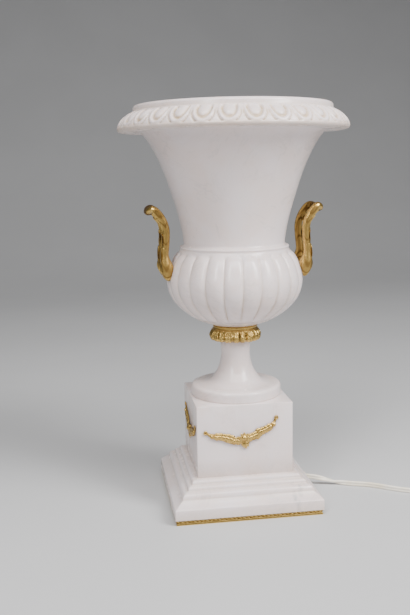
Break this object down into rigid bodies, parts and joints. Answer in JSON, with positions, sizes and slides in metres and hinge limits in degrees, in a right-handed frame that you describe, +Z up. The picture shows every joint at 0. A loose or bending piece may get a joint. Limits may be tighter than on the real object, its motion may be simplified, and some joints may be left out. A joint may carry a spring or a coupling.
{
  "type": "medici vase",
  "caption": "Alabaster medici vase with a gadrooned bowl, flared body and gilt handles, on a stepped square plinth, fitted with a mains lead as a table lamp.",
  "frame": {"origin": "centre of the plinth's underside, on the surface it stands on and under the vase's axis", "axes": "+Z up along the vase's axis, -Y out of the plinth's front face, +X towards the handle on the side where the lead leaves the plinth"},
  "size_m": [0.4052, 0.2306, 0.4058],
  "materials": {
    "alabaster": "polished, warm white",
    "gilt_bronze": "gilt, worn to brown in the hollows",
    "cord_white": "smooth, creamy white",
    "brass": "bright"
  },
  "bodies": {
    "root": {"rope_band": "gilt_bronze", "base_slab": "alabaster", "die_block": "alabaster", "foot": "alabaster", "collar": "gilt_bronze", "vase": "alabaster", "handle_right": "gilt_bronze", "handle_left": "gilt_bronze", "swag_front": "gilt_bronze", "swag_left": "gilt_bronze", "swag_back": "gilt_bronze", "swag_right": "gilt_bronze", "cord_bush": "cord_white", "cord_run": "cord_white", "cord_coil": "cord_white", "cord_tail": "cord_white", "plug_body": "cord_white", "plug_pin_near": "brass", "plug_pin_far": "brass"}
  },
  "joints": []
}
